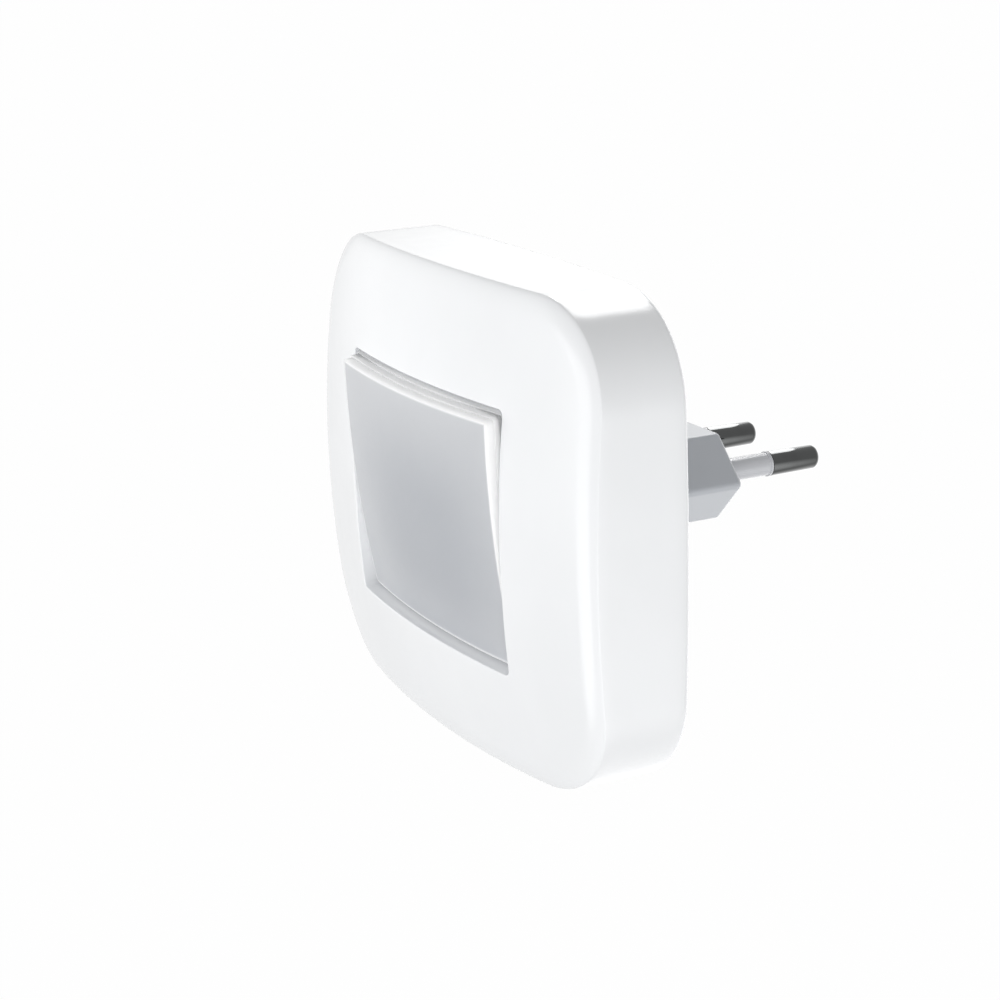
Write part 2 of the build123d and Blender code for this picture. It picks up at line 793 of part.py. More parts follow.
# ---------------------------------------------------------------- electronic parts on the back of the board
film_cap_x = -(board_width / 2 - film_cap_length / 2 - part_edge_gap)
film_cap_z = board_height / 2 - film_cap_height / 2 - part_edge_gap
with BuildPart() as film_capacitor:
    with BuildSketch(at_station(board_rear)):
        with Locations((film_cap_x, film_cap_z)):
            RectangleRounded(film_cap_length, film_cap_height, part_corner)
    extrude(amount=-film_cap_depth)

film_capacitor.part.label = "film_capacitor"
export_step(film_capacitor.part, "parts/film_capacitor.step")

can_station = board_rear - electrolytic_radius
can_z = board_height / 2 - electrolytic_radius - electrolytic_cap_gap
can_x = board_width / 2 - electrolytic_length / 2 - part_edge_gap
can_end = can_x - electrolytic_length / 2
with BuildPart() as electrolytic_capacitor:
    with BuildSketch(Plane.YZ.offset(can_end)):
        with Locations((-can_station, can_z)):
            Circle(electrolytic_radius)
    extrude(amount=electrolytic_length)
    with BuildSketch(Plane.YZ.offset(can_end + electrolytic_groove_place)):
        with Locations((-can_station, can_z)):
            Circle(electrolytic_radius)
            Circle(electrolytic_radius - electrolytic_groove, mode=Mode.SUBTRACT)
    extrude(amount=electrolytic_groove, mode=Mode.SUBTRACT)
    for lead_z in (can_z - lead_pitch / 2, can_z + lead_pitch / 2):
        with BuildLine() as lead:
            Polyline(
                (can_end, -can_station, lead_z),
                (can_end - lead_reach, -can_station, lead_z),
                (can_end - lead_reach, -board_rear, lead_z),
            )
        with BuildSketch(Plane(origin=lead.line @ 0, z_dir=lead.line % 0)):
            Circle(lead_radius)
        sweep(path=lead.line, transition=Transition.RIGHT)

electrolytic_capacitor.part.label = "electrolytic_capacitor"
export_step(electrolytic_capacitor.part, "parts/electrolytic_capacitor.step")

rectifier_x = board_width / 2 - rectifier_width / 2 - lead_reach - part_edge_gap
rectifier_z = -(board_height / 2 - rectifier_height / 2 - lead_reach - part_edge_gap)
leg_places = [
    (rectifier_x + x, rectifier_z + z)
    for x in (-rectifier_width / 4, rectifier_width / 4)
    for z in (-rectifier_height / 2, rectifier_height / 2)
]
with BuildPart() as bridge_rectifier:
    with BuildSketch(at_station(board_rear)):
        with Locations((rectifier_x, rectifier_z)):
            Rectangle(rectifier_width, rectifier_height)
    extrude(amount=-rectifier_depth, taper=rectifier_taper)
    with BuildSketch(at_station(board_rear)):
        with Locations(*leg_places):
            Rectangle(2 * lead_radius, 2 * rectifier_leg)
    extrude(amount=-lead_radius)

bridge_rectifier.part.label = "bridge_rectifier"
export_step(bridge_rectifier.part, "parts/bridge_rectifier.step")

fuse_station = board_rear - fuse_body_radius - fuse_cap_rise
fuse_x = film_cap_x
fuse_z = -film_cap_z
fuse_half = fuse_body_length / 2
with BuildPart() as fusible_resistor:
    with BuildSketch(Plane.YZ.offset(fuse_x - fuse_half)):
        with Locations((-fuse_station, fuse_z)):
            Circle(fuse_body_radius)
    extrude(amount=fuse_body_length)
    for cap_x in (fuse_x - fuse_half, fuse_x + fuse_half - fuse_cap_length):
        with BuildSketch(Plane.YZ.offset(cap_x)):
            with Locations((-fuse_station, fuse_z)):
                Circle(fuse_body_radius + fuse_cap_rise)
        extrude(amount=fuse_cap_length)
    for side in (-1, 1):
        with BuildLine() as lead:
            Polyline(
                (fuse_x + side * fuse_half, -fuse_station, fuse_z),
                (fuse_x + side * (fuse_half + lead_reach), -fuse_station, fuse_z),
                (fuse_x + side * (fuse_half + lead_reach), -board_rear, fuse_z),
            )
        with BuildSketch(Plane(origin=lead.line @ 0, z_dir=lead.line % 0)):
            Circle(lead_radius)
        sweep(path=lead.line, transition=Transition.RIGHT)

fusible_resistor.part.label = "fusible_resistor"
export_step(fusible_resistor.part, "parts/fusible_resistor.step")

chip_z = -(board_height / 2 - chip_height / 2 - chip_row_gap)
with BuildPart() as chip_resistors:
    with BuildSketch(at_station(board_rear)):
        with Locations((0, chip_z)):
            with GridLocations(chip_spacing, 1, chip_count, 1):
                Rectangle(chip_length, chip_height)
    extrude(amount=-chip_depth)

chip_resistors.part.label = "chip_resistors"
export_step(chip_resistors.part, "parts/chip_resistors.step")

# ---------------------------------------------------------------- screws
with BuildPart() as housing_screws:
    for x, z in screw_places:
        with BuildSketch(Plane(origin=(x, -back_station, z), x_dir=(1, 0, 0), z_dir=(0, 0, 1))):
            with BuildLine():
                Polyline(
                    (0, 0),
                    (screw_head_radius, 0),
                    (screw_radius, screw_radius - screw_head_radius),
                    (screw_radius, screw_tip_length - screw_length),
                    (screw_tip_radius, -screw_length),
                    (0, -screw_length),
                    close=True,
                )
            make_face()
        revolve(axis=Axis((x, -back_station, z), (0, 1, 0)))
    with BuildSketch(at_station(back_station)):
        with Locations(*screw_places):
            Rectangle(screw_recess_length, screw_recess_width)
            Rectangle(screw_recess_width, screw_recess_length)
    extrude(amount=screw_recess_depth, mode=Mode.SUBTRACT)

housing_screws.part.label = "housing_screws"
export_step(housing_screws.part, "parts/housing_screws.step")

with BuildPart() as board_screws:
    with BuildSketch(at_station(board_rear)):
        with Locations(*post_places):
            Circle(board_screw_head_radius)
    extrude(amount=-board_screw_head_height)
    chamfer(board_screws.edges().group_by(Axis.Y)[-1], board_screw_head_bevel)
    with BuildSketch(at_station(board_rear)):
        with Locations(*post_places):
            Circle(board_screw_radius)
    extrude(amount=board_screw_length)

board_screws.part.label = "board_screws"
export_step(board_screws.part, "parts/board_screws.step")
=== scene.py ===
"""Looks of the plug-in night light: a glossy white shell, an opal rocker window and a two-pin plug.

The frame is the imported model's: +Z up, the pins along +Y, the front facing -Y, and the origin on
the plug's engagement face. Shapes are worked out in millimetres and put into Blender in metres.
"""

import json
import math

import bpy
import numpy as np
from mathutils import Matrix, Quaternion, Vector


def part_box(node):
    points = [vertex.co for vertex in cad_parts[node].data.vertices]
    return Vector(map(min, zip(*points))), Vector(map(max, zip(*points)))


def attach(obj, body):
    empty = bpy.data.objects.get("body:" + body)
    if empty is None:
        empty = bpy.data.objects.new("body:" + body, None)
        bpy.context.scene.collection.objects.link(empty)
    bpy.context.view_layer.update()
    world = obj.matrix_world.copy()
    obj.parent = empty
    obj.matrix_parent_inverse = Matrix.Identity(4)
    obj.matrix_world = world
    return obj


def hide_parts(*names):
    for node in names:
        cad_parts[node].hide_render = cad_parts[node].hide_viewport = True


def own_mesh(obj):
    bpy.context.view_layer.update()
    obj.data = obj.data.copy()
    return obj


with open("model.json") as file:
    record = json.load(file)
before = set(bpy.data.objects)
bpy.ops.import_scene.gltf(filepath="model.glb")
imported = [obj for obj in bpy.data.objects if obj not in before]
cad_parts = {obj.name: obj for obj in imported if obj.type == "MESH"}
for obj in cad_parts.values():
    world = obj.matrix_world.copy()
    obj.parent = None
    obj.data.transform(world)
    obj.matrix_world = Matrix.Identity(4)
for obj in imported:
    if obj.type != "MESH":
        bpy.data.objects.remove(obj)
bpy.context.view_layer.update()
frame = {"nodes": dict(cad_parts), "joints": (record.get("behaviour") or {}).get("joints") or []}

MM = 0.001
SHARP_ANGLE = math.radians(32)
MERGE_DISTANCE = 0.001 * MM


def node_box(node):
    """A node's lowest and highest corners, in millimetres."""
    low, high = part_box(node)
    return np.array(low) / MM, np.array(high) / MM


# ------------------------------------------------------------------ sizes, in millimetres
shell_low, shell_high = node_box("front_shell")
pin_low, pin_high = node_box("pin_right")
spring_low, spring_high = node_box("plunger_spring")
board_low = node_box("circuit_board")[0]
screws_high = node_box("housing_screws")[1]
board_screws_high = node_box("board_screws")[1]
joints = {joint["name"]: joint for joint in frame["joints"]}
rocker_hinge, plunger_slide = joints["rocker_tilt"], joints["plunger_slide"]

HOUSING_WIDTH = shell_high[0] - shell_low[0]
HOUSING_HEIGHT = shell_high[2] - shell_low[2]
BACK_Y = shell_high[1]
CORNER_RADIUS = 16.0
SIDE_BULGE = 1.4
TOP_BULGE = 0.8
DOME_RADIUS = 187.0
RIM_REACH = 3.4
RIM_DROP = 1.0
BACK_FILLET = 0.9
SIDE_WALL = 2.2
FRONT_WALL = 2.0
COVER_RIM = 1.2
COVER_THICKNESS = 2.0
SCREW_BOSS_RADIUS = 3.6
SCREW_HEAD_RADIUS = 2.75
SCREW_RADIUS = 1.5
BOARD_POST_RADIUS = 3.0
BOARD_SCREW_HEAD_RADIUS = 2.1
BOARD_SCREW_RADIUS = 1.1
PLATE_THICKNESS = 1.2

WINDOW_WIDTH = 49.9
WINDOW_HEIGHT = 39.7
WINDOW_CORNER = 1.0
WINDOW_FILLET = 0.2
COLLAR_WALL = 1.2
COLLAR_REAR_Y = board_low[1] - PLATE_THICKNESS

PIVOT_Y, PIVOT_Z = (rocker_hinge["pos_m"][axis] / MM for axis in (1, 2))
PIVOT_DEPTH = 6.3
ROCKER_TILT = math.radians(-rocker_hinge["range_deg"][0] / 2)
DOME_APEX_Y = PIVOT_Y - PIVOT_DEPTH
LENS_STEPS = 3
LENS_STEP_WIDTH = 0.22
LENS_STEP_RISE = 0.27
LENS_STEP_DROP = 1.2
LENS_SIDE_GAP = 0.16
LENS_GAP = 0.18
LENS_HALF_WIDTH = WINDOW_WIDTH / 2 - LENS_SIDE_GAP - (LENS_STEPS - 1) * LENS_STEP_WIDTH
LENS_HALF_HEIGHT = WINDOW_HEIGHT / 2 - PIVOT_DEPTH * math.sin(ROCKER_TILT) - LENS_GAP
LENS_CORNER = 0.8
LENS_DOME_RADIUS = 190.0
LENS_EDGE_FILLET = 0.35
LENS_STEP_FILLET = 0.05
LENS_WALL = 1.5
LENS_FOOT = 1.8
SKIRT_REAR = 0.5
SKIRT_HALF_WIDTH = 24.85
SKIRT_HALF_HEIGHT = 19.79
CARRIER_HALF_WIDTH = 24.65
CARRIER_HALF_HEIGHT = 19.25
CARRIER_GAP = 0.02

SPRING_LENGTH = 3.2
SPRING_RADIUS = 1.14
SPRING_TURNS = 4
SPRING_WIRE_RADIUS = 0.18
SPRING_TRAVEL = plunger_slide["range_m"][1] / MM

PIN_RADIUS = 2.0
PIN_TIP_FILLET = 1.1
PIN_CORE_RADIUS = 1.5
PIN_HEAD_RADIUS = 2.8
PIN_HEAD_HEIGHT = 1.5
PIN_TAIL_RADIUS = 1.2
RIVET_HEAD_RADIUS = 1.9
STRIP_THICKNESS = 0.6
PLUG_END_WALL = 9.0
SLEEVE_RADIUS = 1.84
SLEEVE_LENGTH = 10.0
SLEEVE_DEPTH = 2.0
SLEEVE_COLLAR_RADIUS = 2.1
SLEEVE_COLLAR_HEIGHT = 0.9
SLEEVE_COLLAR_SINK = 0.4
SLEEVE_END_GAP = 0.03
SLEEVE_ROUND = 0.08
SLEEVE_LIP = 0.35
SLEEVE_LIP_SLOPE = 0.15
SHOULDER_LENGTH = 0.1
PIN_X = (pin_low[0] + pin_high[0]) / 2
PIN_LENGTH = pin_high[1]
PIN_TAIL_Y = pin_low[1]

# how finely the surfaces are divided
CORNER_STEPS = 36
SIDE_STEPS = 28
DOME_STEPS = 36
RIM_STEPS = 24
EDGE_STEPS = 6
WALL_STEPS = 8
TURN_STEPS = 96
WIRE_STEPS = 12
COIL_STEPS = 36


# ------------------------------------------------------------------ outlines and skins
class Outline:
    """A closed outline: each point is its centre plus its radius along its outward normal.

    Moving the outline in by an inset takes the inset off every radius, so an outline and its
    insets have matching points, corner by corner.
    """

    def __init__(self, centres, radii, angles):
        self.centres, self.radii = np.array(centres), np.array(radii)
        self.normals = np.stack([np.cos(angles), np.sin(angles)], axis=-1)

    def points(self, inset=0.0):
        """The outline's (x, z) points, moved in by inset."""
        return self.centres + (self.radii - inset)[:, None] * self.normals


def polygon_outline(corners, radius, centre=(0.0, 0.0)):
    """A polygon with round corners: an arc at each corner, then the side to the next corner.

    corners go anticlockwise. A corner's arc centre lies where its two sides, moved in by the
    radius, meet.
    """
    corners = np.array(corners) + np.array(centre)
    along = np.roll(corners, -1, axis=0) - corners
    along /= np.linalg.norm(along, axis=1)[:, None]
    after = np.stack([along[:, 1], -along[:, 0]], axis=-1)
    before = np.roll(after, 1, axis=0)
    spread = 1 + (before * after).sum(axis=1)
    arc_centres = corners - radius * (before + after) / spread[:, None]
    centres, angles = [], []
    for k in range(len(corners)):
        start = math.atan2(before[k, 1], before[k, 0])
        turn = (math.atan2(after[k, 1], after[k, 0]) - start) % (2 * math.pi)
        part = np.linspace(0, 1, CORNER_STEPS + 1)
        centres.append(np.repeat(arc_centres[k][None], CORNER_STEPS + 1, axis=0))
        angles.append(start + turn * part)
        part = np.linspace(0, 1, SIDE_STEPS + 1)[1:-1, None]
        following = arc_centres[(k + 1) % len(corners)]
        centres.append(arc_centres[k] * (1 - part) + following * part)
        angles.append(np.full(SIDE_STEPS - 1, start + turn))
    centres, angles = np.concatenate(centres), np.concatenate(angles)
    return Outline(centres, np.full(len(angles), radius), angles)


def rectangle_outline(half_width, half_height, radius, centre=(0.0, 0.0)):
    """A rectangle with round corners, starting at its upper right corner."""
    corners = [(half_width, half_height), (-half_width, half_height)]
    corners += [(-x, -z) for x, z in corners]
    return polygon_outline(corners, radius, centre)


def bulged_outline(half_width, half_height, side_bulge, top_bulge, radius):
    """The housing's outline: four sides that are shallow arcs, and round corners tangent to them.

    A side arc passes through the two bare corners and the side's middle. A corner's arc centre is
    the corner radius inside both neighbouring side arcs: of the two places where those circles
    meet, it is the upper right one.
    """
    corner_x, corner_z = half_width - side_bulge, half_height - top_bulge
    side_radius = (corner_z**2 + side_bulge**2) / (2 * side_bulge)
    top_radius = (corner_x**2 + top_bulge**2) / (2 * top_bulge)
    side_centre = np.array([half_width - side_radius, 0.0])
    top_centre = np.array([0.0, half_height - top_radius])
    apart = np.linalg.norm(top_centre - side_centre)
    along = (top_centre - side_centre) / apart
    reach = side_radius - radius
    onward = (apart**2 + reach**2 - (top_radius - radius) ** 2) / (2 * apart)
    across = math.sqrt(reach**2 - onward**2)
    corner_centre = side_centre + onward * along + across * np.array([-along[1], along[0]])
    first = math.atan2(corner_centre[1], corner_centre[0] - side_centre[0])
    last = math.atan2(corner_centre[1] - top_centre[1], corner_centre[0])
    corner = np.linspace(first, last, CORNER_STEPS + 1)
    part = np.linspace(0, 1, SIDE_STEPS + 1)[1:-1]
    top = last + (math.pi - 2 * last) * part
    left = math.pi - first + 2 * first * part
    turns = [
        (corner_centre, radius, corner),
        (top_centre, top_radius, top),
        (corner_centre * (-1, 1), radius, math.pi - corner[::-1]),
        (side_centre * (-1, 1), side_radius, left),
        (-corner_centre, radius, math.pi + corner),
        (-top_centre, top_radius, math.pi + top),
        (corner_centre * (1, -1), radius, 2 * math.pi - corner[::-1]),
        (side_centre, side_radius, math.pi + left),
    ]
    centres = np.concatenate([np.repeat(centre[None], len(a), axis=0) for centre, _, a in turns])
    radii = np.concatenate([np.full(len(a), r) for _, r, a in turns])
    return Outline(centres, radii, np.concatenate([a for _, _, a in turns]))


def at_depth(points, depth):
    """A ring of (x, depth, z) points. depth is a number or one value for each point."""
    return np.stack([points[:, 0], np.broadcast_to(depth, len(points)), points[:, 1]], axis=-1)


def dome_depth(points, apex, radius):
    """The depth of a dome that faces -Y: its apex depth, plus the sag of its sphere."""
    return apex + radius - np.sqrt(radius**2 - (points**2).sum(axis=1))


def on_dome(points, apex, radius):
    """A ring of points on the dome."""
    return at_depth(points, dome_depth(points, apex, radius))


def dome_fillet(points, air, fillet, apex, radius, steps):
    """Rings of a fillet between a straight wall and the dome, from the wall to the dome.

    A ball of the fillet's radius touches both: its centre lies the fillet's radius behind the wall
    and on the sphere that is smaller by that radius. The surface turns from the wall's normal, the
    air direction, to the dome's normal along the great circle between them.
    """
    centre_points = points - fillet * air
    centres = on_dome(centre_points, apex + fillet, radius - fillet)
    to_wall = at_depth(air, 0.0)
    to_dome = centres - np.array([0.0, apex + radius, 0.0])
    to_dome /= np.linalg.norm(to_dome, axis=1)[:, None]
    angle = np.arccos((to_wall * to_dome).sum(axis=1))[:, None]
    rings = []
    for part in np.linspace(0, 1, steps + 1):
        direction = np.sin((1 - part) * angle) * to_wall + np.sin(part * angle) * to_dome
        rings.append(centres + fillet * direction / np.sin(angle))
    return rings


def dome_rim(outline, reach, drop, apex, radius, steps):
    """Rings of the dome's rim, from the dome to the side wall.

    It is a quarter ellipse laid on the dome: it starts reach inside the outline and meets the
    wall drop behind the dome's edge.
    """
    rings = []
    for angle in np.linspace(math.pi / 2, 0, steps + 1):
        points = outline.points(reach * (1 - math.cos(angle)))
        edge_depth = dome_depth(points, apex, radius)
        rings.append(at_depth(points, edge_depth + drop * (1 - math.sin(angle))))
    return rings


def between(first, last, steps):
    """Rings evenly spaced between two rings, with both left out."""
    return [first + (last - first) * part for part in np.linspace(0, 1, steps + 1)[1:-1]]


def over_dome(first, last, steps, apex, radius):
    """Rings that follow the dome between two rings that lie on it, with both left out."""
    return [on_dome(ring[:, [0, 2]], apex, radius) for ring in between(first, last, steps)]


def in_scene(name, data):
    """A new object in the scene."""
    made = bpy.data.objects.new(name, data)
    bpy.context.scene.collection.objects.link(made)
    return made


def shaded(name, points, faces):
    """A mesh object that is shaded smooth up to its sharp edges."""
    mesh = bpy.data.meshes.new(name)
    mesh.from_pydata(points, [], faces)
    mesh.polygons.foreach_set("use_smooth", np.ones(len(mesh.polygons), bool))
    mesh.set_sharp_from_angle(angle=SHARP_ANGLE)
    mesh.update()
    return in_scene(name, mesh)


def skin(name, rings, poles=None):
    """A closed mesh object through rings of matching points, given in millimetres.

    Neighbouring points of neighbouring rings make a four-sided face. With two poles, a fan of
    triangles closes each end; without them the last ring joins the first. The faces are turned
    outwards by the sign of the enclosed volume.
    """
    rings = np.array(rings)
    count, around = rings.shape[:2]
    index = np.arange(count * around).reshape(count, around)
    near, far = (index, np.roll(index, -1, axis=0)) if poles is None else (index[:-1], index[1:])
    faces = np.stack([near, np.roll(near, -1, axis=1), np.roll(far, -1, axis=1), far], axis=-1)
    faces = faces.reshape(-1, 4)
    points = rings.reshape(-1, 3)
    fans = np.zeros((0, 3), int)
    if poles is not None:
        top, bottom = len(points), len(points) + 1
        points = np.concatenate([points, np.array(poles, float)])
        first, last = index[0], index[-1]
        fans = np.concatenate([
            np.stack([np.full(around, top), np.roll(first, -1), first], axis=-1),
            np.stack([np.full(around, bottom), last, np.roll(last, -1)], axis=-1),
        ])
    triangles = np.concatenate([faces[:, [0, 1, 2]], faces[:, [0, 2, 3]], fans])
    a, b, c = (points[triangles[:, k]] for k in range(3))
    if (a * np.cross(b, c)).sum() < 0:
        faces, fans = faces[:, ::-1], fans[:, ::-1]
    return shaded(name, (points * MM).tolist(), faces.tolist() + fans.tolist())


def circle(radius, y, place):
    """A ring about an axis along Y through the place (x, z)."""
    around = np.linspace(0, 2 * math.pi, TURN_STEPS, endpoint=False)
    points = np.stack([np.cos(around), np.sin(around)], axis=-1)
    return at_depth(np.array(place) + radius * points, y)


def turned(name, profile, place):
    """A turned piece: a profile of (radius, y) points spun about an axis along Y.

    A profile that starts and ends on the axis makes a solid. Any other is closed on itself and
    makes a hollow piece.
    """
    if profile[0][0] == 0:
        rings = [circle(radius, y, place) for radius, y in profile[1:-1]]
        poles = [(place[0], profile[k][1], place[1]) for k in (0, -1)]
        return skin(name, rings, poles)
    return skin(name, [circle(radius, y, place) for radius, y in profile])


def quarter(centre, radii, start, steps=EDGE_STEPS):
    """Profile points on a quarter ellipse about (radius, y), from start to start - 90 degrees."""
    angles = math.radians(start) - np.linspace(0, math.pi / 2, steps + 1)
    return [
        (centre[0] + radii[0] * math.cos(angle), centre[1] + radii[1] * math.sin(angle))
        for angle in angles
    ]


def joined(name, parts):
    """One object from several, with their meshes side by side."""
    points, faces = [], []
    for part in parts:
        base = len(points)
        points += [tuple(vertex.co) for vertex in part.data.vertices]
        faces += [tuple(base + v for v in polygon.vertices) for polygon in part.data.polygons]
        bpy.data.objects.remove(part)
    return shaded(name, points, faces)


# ------------------------------------------------------------------ nodes
# the colours among a Mix node's sockets: the two that go in and the one that comes out
MIX_FIRST, MIX_SECOND, MIX_RESULT = 6, 7, 2


def operator(operation):
    """The methods of an arithmetic operator: with the wire first, and with it second."""

    def wire_first(wire, other):
        return wire.nodes.math(operation, wire, other)

    def wire_second(wire, other):
        return wire.nodes.math(operation, other, wire)

    return wire_first, wire_second


class Wire:
    """A node's output. Arithmetic on it adds Math nodes to its tree."""

    __add__, __radd__ = operator("ADD")
    __sub__, __rsub__ = operator("SUBTRACT")
    __mul__, __rmul__ = operator("MULTIPLY")
    __truediv__, __rtruediv__ = operator("DIVIDE")
    __pow__, __rpow__ = operator("POWER")

    def __init__(self, nodes, socket):
        self.nodes, self.socket = nodes, socket

    def __abs__(self):
        return self.nodes.math("ABSOLUTE", self)

    def sine(self):
        return self.nodes.math("SINE", self)

    def most(self, other):
        """The larger of two values."""
        return self.nodes.math("MAXIMUM", self, other)

    def beside(self, name):
        """Another output of the same node."""
        return Wire(self.nodes, self.socket.node.outputs[name])


class Nodes:
    """A node tree, emptied at first. All of its nodes come from one method."""

    def __init__(self, tree):
        self.tree = tree
        tree.nodes.clear()

    def join(self, socket, value):
        """Links a wire to a socket, or sets the socket's own value."""
        if isinstance(value, Wire):
            self.tree.links.new(value.socket, socket)
        elif socket.type == "RGBA":
            socket.default_value = (*value, 1.0)
        else:
            socket.default_value = value

    def node(self, kind, settings=None, inputs=None, output=0):
        """Adds a node: its settings first, then the values or links of its sockets."""
        made = self.tree.nodes.new(kind)
        for name, value in (settings or {}).items():
            setattr(made, name, value)
        for name, value in (inputs or {}).items():
            self.join(made.inputs[name], value)
        return Wire(self, made.outputs[output]) if made.outputs else None

    def math(self, operation, *values):
        return self.node("ShaderNodeMath", {"operation": operation}, dict(enumerate(values)))

    def smooth(self, value, low, high, first=0.0, last=1.0):
        """first below low, last above high and a soft step between."""
        names = "Value", "From Min", "From Max", "To Min", "To Max"
        inputs = dict(zip(names, (value, low, high, first, last)))
        return self.node("ShaderNodeMapRange", {"interpolation_type": "SMOOTHSTEP"}, inputs)


class Finish(Nodes):
    """A material: one Principled shader and the nodes that vary it over the surface."""

    def __init__(self, name, **settings):
        self.material = bpy.data.materials.new(name)
        self.material.use_nodes = True
        super().__init__(self.material.node_tree)
        values = {socket.replace("_", " "): value for socket, value in settings.items()}
        self.shader = self.node("ShaderNodeBsdfPrincipled", inputs=values)
        self.node("ShaderNodeOutputMaterial", inputs={"Surface": self.shader})
        self.place = self.node("ShaderNodeTexCoord", output="Object")

    def set(self, socket, value):
        """Sets or links one socket of the Principled shader."""
        self.join(self.shader.socket.node.inputs[socket], value)

    def noise(self, size, detail=2.0, place=None):
        """Noise between 0 and 1 whose features are about size millimetres wide."""
        inputs = {"Vector": place or self.place, "Scale": 1 / (size * MM), "Detail": detail}
        return self.node("ShaderNodeTexNoise", inputs=inputs)

    def coordinates(self):
        """The x, y and z of the surface, in millimetres."""
        x = self.node("ShaderNodeSeparateXYZ", inputs={"Vector": self.place})
        return [wire / MM for wire in (x, x.beside("Y"), x.beside("Z"))]

    def mix(self, mask, first, second):
        """The first colour where mask is 0 and the second where it is 1."""
        inputs = {"Factor": mask, MIX_FIRST: first, MIX_SECOND: second}
        return self.node("ShaderNodeMix", {"data_type": "RGBA"}, inputs, MIX_RESULT)

    def sheen(self, pattern, roughness, spread):
        """Roughness that follows a pattern from 0 to 1, spread evenly about its middle value."""
        self.set("Roughness", pattern * spread + (roughness - spread / 2))

    def bump(self, height, depth):
        """Puts a relief on the shader: height 0 to 1 stands for depth millimetres."""
        inputs = {"Height": height, "Distance": depth * MM, "Strength": 1.0}
        self.set("Normal", self.node("ShaderNodeBump", inputs=inputs))


# ------------------------------------------------------------------ housing
def housing_shell():
    """The front shell, as one closed profile carried round the housing's outline.

    The profile starts at the rear of the collar, runs up the window's wall and over its soft edge,
    out across the dome to the rim, down the side wall and round its back edge, then returns along
    the inside: the rebate for the rear cover, the inner wall, the inner dome and the collar.
    """
    outer = bulged_outline(
        HOUSING_WIDTH / 2, HOUSING_HEIGHT / 2, SIDE_BULGE, TOP_BULGE, CORNER_RADIUS
    )
    middle = (0.0, PIVOT_Z)
    window = rectangle_outline(WINDOW_WIDTH / 2, WINDOW_HEIGHT / 2, WINDOW_CORNER, middle)
    collar = rectangle_outline(
        WINDOW_WIDTH / 2 + COLLAR_WALL,
        WINDOW_HEIGHT / 2 + COLLAR_WALL,
        WINDOW_CORNER + COLLAR_WALL,
        middle,
    )
    inner_apex, inner_radius = DOME_APEX_Y + FRONT_WALL, DOME_RADIUS - FRONT_WALL
    inside = outer.points(SIDE_WALL)
    soft_edge = dome_fillet(
        window.points(), -window.normals, WINDOW_FILLET, DOME_APEX_Y, DOME_RADIUS, EDGE_STEPS
    )
    rim = dome_rim(outer, RIM_REACH, RIM_DROP, DOME_APEX_Y, DOME_RADIUS, RIM_STEPS)
    back_edge = []
    for angle in np.linspace(0, math.pi / 2, EDGE_STEPS + 1):
        points = outer.points(BACK_FILLET * (1 - math.cos(angle)))
        back_edge.append(at_depth(points, BACK_Y - BACK_FILLET * (1 - math.sin(angle))))
    rebate_y = BACK_Y - COVER_THICKNESS
    dome_inside = on_dome(inside, inner_apex, inner_radius)
    dome_at_collar = on_dome(collar.points(), inner_apex, inner_radius)

    rings = [at_depth(window.points(), COLLAR_REAR_Y)]
    rings += between(rings[0], soft_edge[0], WALL_STEPS) + soft_edge
    rings += over_dome(soft_edge[-1], rim[0], DOME_STEPS, DOME_APEX_Y, DOME_RADIUS) + rim
    rings += between(rim[-1], back_edge[0], WALL_STEPS) + back_edge
    rings += [at_depth(outer.points(COVER_RIM), y) for y in (BACK_Y, rebate_y)]
    rings += [at_depth(inside, rebate_y), dome_inside]
    rings += over_dome(dome_inside, dome_at_collar, WALL_STEPS, inner_apex, inner_radius)
    rings += [dome_at_collar, at_depth(collar.points(), COLLAR_REAR_Y)]
    return skin("front_shell_skin", rings)


def shell_bosses():
    """The tubes inside the shell that take the housing screws and the board screws."""
    screw_x, screw_z = (screws_high[axis] - SCREW_HEAD_RADIUS for axis in (0, 2))
    post_x = board_screws_high[0] - BOARD_SCREW_HEAD_RADIUS
    rebate_y = BACK_Y - COVER_THICKNESS
    screw_places = [(x, z) for x in (-screw_x, screw_x) for z in (-screw_z, screw_z)]
    tubes = [(place, SCREW_BOSS_RADIUS, SCREW_RADIUS, rebate_y) for place in screw_places]
    for place in ((-post_x, PIVOT_Z), (post_x, PIVOT_Z)):
        tubes.append((place, BOARD_POST_RADIUS, BOARD_SCREW_RADIUS, COLLAR_REAR_Y))
    parts = []
    for place, outside, inside, rear in tubes:
        front = on_dome(np.array([place]), DOME_APEX_Y, DOME_RADIUS)[0, 1] + FRONT_WALL / 2
        profile = [(inside, rear), (outside, rear), (outside, front), (inside, front)]
        parts.append(turned("boss", profile, place))
    return joined("front_shell_bosses", parts)


# ------------------------------------------------------------------ rocker window
def in_rocker(ring):
    """Turns a ring from the rocker's own upright frame into its place at rest.

    In the rocker's frame the pivot is the origin and the panel faces -Y. At rest it is turned
    about X by the tilt, so that its top stands out.
    """
    x, y, z = ring[:, 0], ring[:, 1], ring[:, 2]
    turned_y = PIVOT_Y + y * math.cos(ROCKER_TILT) - z * math.sin(ROCKER_TILT)
    turned_z = PIVOT_Z + y * math.sin(ROCKER_TILT) + z * math.cos(ROCKER_TILT)
    return np.stack([x, turned_y, turned_z], axis=-1)


